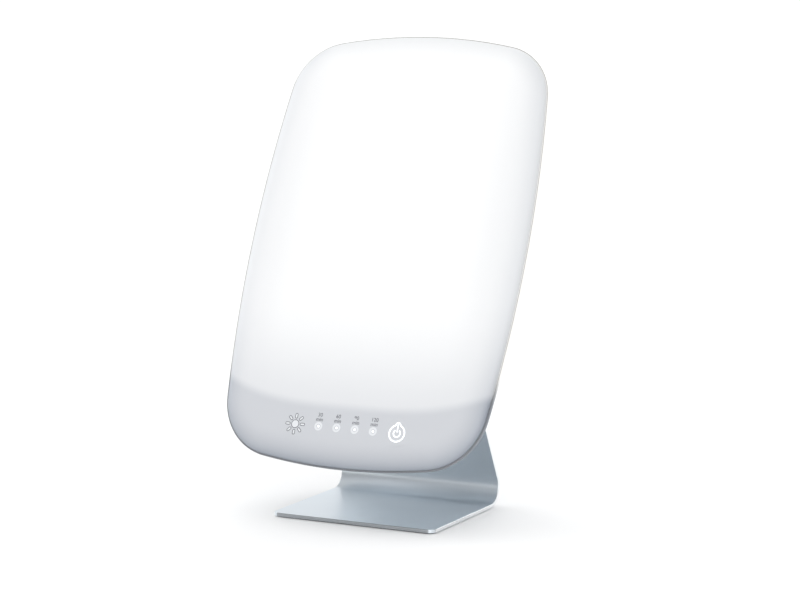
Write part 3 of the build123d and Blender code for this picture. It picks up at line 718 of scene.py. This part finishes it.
def to_screen(piece, x, height, turn=0.0, proud=0.0):
    """Carries a flat mark from the origin to the screen and fixes its place in its mesh."""
    axes = Matrix((right, up, out)).transposed().to_4x4()
    place = Matrix.Translation(on_screen(x, height, proud)) @ axes @ Matrix.Rotation(turn, 4, "Z")
    piece.matrix_world = place
    deselect()
    piece.select_set(True)
    bpy.context.view_layer.objects.active = piece
    bpy.ops.object.transform_apply(location=True, rotation=True, scale=True)
    return piece


def thicken(piece):
    """Turns a flat mark's faces up and gives it the thickness of ink, upwards."""
    if piece.data.polygons[0].normal.z < 0:
        bpy.ops.object.mode_set(mode="EDIT")
        bpy.ops.mesh.select_all(action="SELECT")
        bpy.ops.mesh.flip_normals()
        bpy.ops.object.mode_set(mode="OBJECT")
    apply_modifier(piece, "SOLIDIFY", thickness=INK_THICKNESS, offset=1.0)
    return piece


def ring(name, inner, outer, gap=0.0):
    """A flat ring around the origin, open at its top by a gap in degrees."""
    deselect()
    bpy.ops.mesh.primitive_circle_add(vertices=RING_POINTS, radius=inner)
    piece = active()
    piece.name = name
    bpy.ops.object.mode_set(mode="EDIT")
    limit = inner * cos(radians(gap / 2))
    select_vertices(lambda co: gap > 0 and co.y > limit)
    bpy.ops.mesh.delete(type="VERT")
    bpy.ops.mesh.select_all(action="SELECT")
    bpy.ops.mesh.extrude_edges_move()
    bpy.ops.transform.resize(value=(outer / inner, outer / inner, 1), center_override=(0, 0, 0))
    bpy.ops.object.mode_set(mode="OBJECT")
    return thicken(piece)


def bar(name, width, length, start):
    """A flat bar with round ends, from a distance above the origin upwards."""
    deselect()
    bpy.ops.mesh.primitive_plane_add(size=1)
    piece = active()
    piece.name = name
    bpy.ops.object.mode_set(mode="EDIT")
    bpy.ops.transform.resize(value=(width, length, 1), center_override=(0, 0, 0))
    bpy.ops.transform.translate(value=(0, start + length / 2, 0))
    bpy.ops.mesh.select_all(action="SELECT")
    bpy.ops.mesh.bevel(offset=width * END_ROUNDING, segments=END_POINTS, affect="VERTICES")
    bpy.ops.object.mode_set(mode="OBJECT")
    return thicken(piece)


def disc(name, radius):
    """A flat disc around the origin."""
    deselect()
    bpy.ops.mesh.primitive_circle_add(vertices=DISC_POINTS, radius=radius, fill_type="NGON")
    piece = active()
    piece.name = name
    return thicken(piece)


def join(name, pieces):
    """Joins pieces into the first one."""
    deselect()
    for piece in pieces:
        piece.select_set(True)
    bpy.context.view_layer.objects.active = pieces[0]
    bpy.ops.object.join()
    pieces[0].name = name
    return pieces[0]


def printed(piece, material, body):
    """Dresses a mark and makes it ride on a body."""
    dress(piece, material)
    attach(piece, body)
    print(piece.name, "rides on", body)


# %% [markdown]
# ## The power mark
# A closed line says that the mark is a key. In it stands the usual stand-by sign, an open ring
# with a bar in its gap. The bar is long, so the closed line makes a small arch round its top. A
# ring that is open at its top and a smaller one that is open at its foot make that line.

# %% The power mark
MARK_HEIGHT = 0.0433
KEY_SIDE = 0.0615
LINE_OUTER = 0.0097
LINE_INNER = 0.0082
ARCH_OUTER = 0.0034
ARCH_INNER = 0.0020
ARCH_HEIGHT = 0.0088
LINE_GAP = 34
ARCH_GAP = 165
RING_OUTER = 0.0046
RING_INNER = 0.0032
RING_GAP = 64
BAR_WIDTH = 0.0012
BAR_LENGTH = 0.0088
BAR_START = 0.0010


def arch(name):
    """The small arch on top of the closed line, open at its foot."""
    piece = ring(name, ARCH_INNER, ARCH_OUTER, gap=ARCH_GAP)
    piece.data.transform(Matrix.Translation((0, ARCH_HEIGHT, 0)) @ Matrix.Rotation(pi, 4, "Z"))
    return piece


power_parts = [
    ring("closed line", LINE_INNER, LINE_OUTER, gap=LINE_GAP),
    arch("arch"),
    ring("open ring", RING_INNER, RING_OUTER, gap=RING_GAP),
    bar("bar", BAR_WIDTH, BAR_LENGTH, BAR_START),
]
for part in power_parts:
    to_screen(part, KEY_SIDE, MARK_HEIGHT)
printed(join("power_mark", power_parts), white_print, "power_button")

# %% [markdown]
# ## Lips round the keys
# Each key moves in a gap of 0.3 mm. A thin soft lip of the screen's colour fills the gap, so that
# dust stays out and the band looks unbroken. It is a flat ring just below the face, a hair's
# breadth clear of both sides, and rides on the head.

# %% Lips round the keys
KEY_CENTRE = 0.043
LIP_INNER = 0.01401
LIP_OUTER = 0.01429
LIP_SINK = 1.2 * INK_THICKNESS
for side, name in ((1, "power_lip"), (-1, "timer_lip")):
    lip = ring(name, LIP_INNER, LIP_OUTER)
    to_screen(lip, side * KEY_SIDE, KEY_CENTRE, proud=-LIP_SINK)
    printed(lip, key_face, "head")

# %% [markdown]
# ## The timer mark
# The timer's key carries a plain sun: a disc with eight rays. The white sun lies on a slightly
# larger grey one, which leaves a thin grey outline.

# %% The timer mark
RAYS = 8
DISC_RADIUS = 0.0040
RAY_WIDTH = 0.0018
RAY_LENGTH = 0.0046
RAY_START = 0.0066
OUTLINE = 0.0008


def sun(name, grow, material):
    """A disc and its rays, all grown by the same amount."""
    parts = [to_screen(disc("sun disc", DISC_RADIUS + grow), -KEY_SIDE, MARK_HEIGHT)]
    for ray in range(RAYS):
        one = bar("ray", RAY_WIDTH + 2 * grow, RAY_LENGTH + 2 * grow, RAY_START - grow)
        parts.append(to_screen(one, -KEY_SIDE, MARK_HEIGHT, turn=2 * pi * ray / RAYS))
    printed(join(name, parts), material, "timer_button")


sun("sun_outline", OUTLINE, line_print)
sun("sun_fill", 0.0, soft_print)
bpy.data.objects["sun_fill"].data.transform(Matrix.Translation(out * INK_THICKNESS))

# %% [markdown]
# ## The timer's scale
# Four indicators between the keys stand for the running times. Above each stands its number and
# the unit, and a white ring runs round it. Blender's own font is plain enough. Each text is
# turned into a mesh before it is carried to its place.

# %% The timer's scale
MINUTES = (30, 60, 90, 120)
PITCH = 0.022
TEXT_SIZE = 0.0058
BOLD = 0.00006
NUMBER_HEIGHT = 0.0555
UNIT_HEIGHT = 0.0505
CIRCLE_INNER = 0.0025
CIRCLE_OUTER = 0.0047


def text(name, words):
    """Flat text centred on the origin, as a mesh."""
    deselect()
    bpy.ops.object.text_add()
    piece = active()
    piece.name = name
    piece.data.body = words
    piece.data.size = TEXT_SIZE
    piece.data.offset = BOLD
    piece.data.align_x = "CENTER"
    piece.data.align_y = "CENTER"
    bpy.ops.object.convert(target="MESH")
    return thicken(active())


for index, minutes in enumerate(MINUTES):
    x = (index - (len(MINUTES) - 1) / 2) * PITCH
    number = to_screen(text("number", str(minutes)), x, NUMBER_HEIGHT)
    unit = to_screen(text("unit", "min"), x, UNIT_HEIGHT)
    words = join(f"time_{minutes}_min", [number, unit])
    printed(words, grey_print, "head")
    circle = ring(f"indicator_ring_{minutes}", CIRCLE_INNER, CIRCLE_OUTER)
    to_screen(circle, x, KEY_CENTRE)
    printed(circle, soft_print, "head")

# %% [markdown]
# ## The studio
# The lamp stands on a plain pale floor that is so large that its end isn't seen. A roll of studio
# paper that curves up behind the lamp would look the same from the front, but would hide the lamp
# from behind.

# %% Floor
FLOOR_SIZE = 60.0
deselect()
bpy.ops.mesh.primitive_plane_add(size=FLOOR_SIZE)
floor = active()
floor.name = "floor"


def paper(start):
    fibres = noise(start, 0.004)
    white = rgb(0.90, 0.894, 0.887)
    return {
        "Base Color": blend(start, fibres, shade(white, 0.995), white),
        "Roughness": 0.85 + 0.05 * fibres,
    }


dress(floor, finish("paper floor", paper))
print("Floor is", FLOOR_SIZE, "m wide")

# %% [markdown]
# ## Light
# A broad lamp overhead gives the soft shadow round the stand. Everything else is a bright
# surround with soft boxes in it, because satin metal shows what stands around it. Each box is a
# smooth spot in the surround, given by its compass angle from the front, its height above the
# horizon, how tight it is and how strong. Boxes as real lamps would do the same, but would show
# hard corners in the metal.

# %% A lamp overhead
SUN_ANGLE = radians(90)
SUN_STRENGTH = 1.40
SUN_DIRECTION = Vector((0.10, 0.05, -1.0))
deselect()
bpy.ops.object.light_add(type="SUN", location=(0.0, 0.0, 3.0))
sun_lamp = active()
sun_lamp.name = "overhead lamp"
sun_lamp.data.angle = SUN_ANGLE
sun_lamp.data.energy = SUN_STRENGTH
sun_lamp.visible_glossy = False
sun_lamp.rotation_euler = SUN_DIRECTION.to_track_quat("-Z", "Y").to_euler()
print("Lamp overhead, strength", SUN_STRENGTH)

# %% The surround and its soft boxes
SURROUND = 0.18
BOXES = {
    "front right": (27, 10, 8, 3.0),
    "left": (-90, 15, 12, 2.7),
    "back": (170, 20, 8, 2.0),
    "back left": (-151, 12, 12, 0.5),
    "top": (0, 90, 2, 0.48),
}


def toward(azimuth, elevation):
    """A direction from its compass angle, 0 at the front and 90 at the right, and its height."""
    side, rise = radians(azimuth), radians(elevation)
    return Vector((sin(side) * cos(rise), -cos(side) * cos(rise), sin(rise)))


world = bpy.data.worlds.new("studio")
bpy.context.scene.world = world
world.use_nodes = True
surround = Socket(world.node_tree)
direction = surround.node("ShaderNodeTexCoord", output="Generated")
level = SURROUND
for azimuth, elevation, tightness, strength in BOXES.values():
    facing = {0: direction, 1: toward(azimuth, elevation)}
    dot = surround.node("ShaderNodeVectorMath", facing, output="Value", operation="DOT_PRODUCT")
    level = level + strength * surround.maths("MAXIMUM", dot, 0.0) ** tightness
cool = rgb(0.97, 0.985, 1.0)
background = world.node_tree.nodes["Background"]
world.node_tree.links.new(level.socket, background.inputs["Strength"])
background.inputs["Color"].default_value = cool
bpy.context.scene.view_settings.view_transform = "Standard"
print("Soft boxes:", ", ".join(BOXES))

# %% [markdown]
# ## The camera
# The lamp is seen from its right and slightly above, through a long lens from about three
# metres, as products usually are: a long lens keeps upright edges nearly parallel.

# %% Camera
TARGET = Vector((0.0032, 0.0370, 0.2044))
EYE = Vector((1.3237, -2.5392, 0.6339))
SENSOR_WIDTH = 36.0
LENS = 119.6
SHIFT_Y = 0.0311
CLIP_END = 200.0
deselect()
bpy.ops.object.camera_add(location=EYE)
camera = active()
camera.name = "camera"
camera.rotation_euler = (TARGET - EYE).to_track_quat("-Z", "Y").to_euler()
camera.data.sensor_width = SENSOR_WIDTH
camera.data.lens = LENS
camera.data.shift_y = SHIFT_Y
camera.data.clip_end = CLIP_END
bpy.context.scene.camera = camera
print("Camera at", round((EYE - TARGET).length, 2), "m")
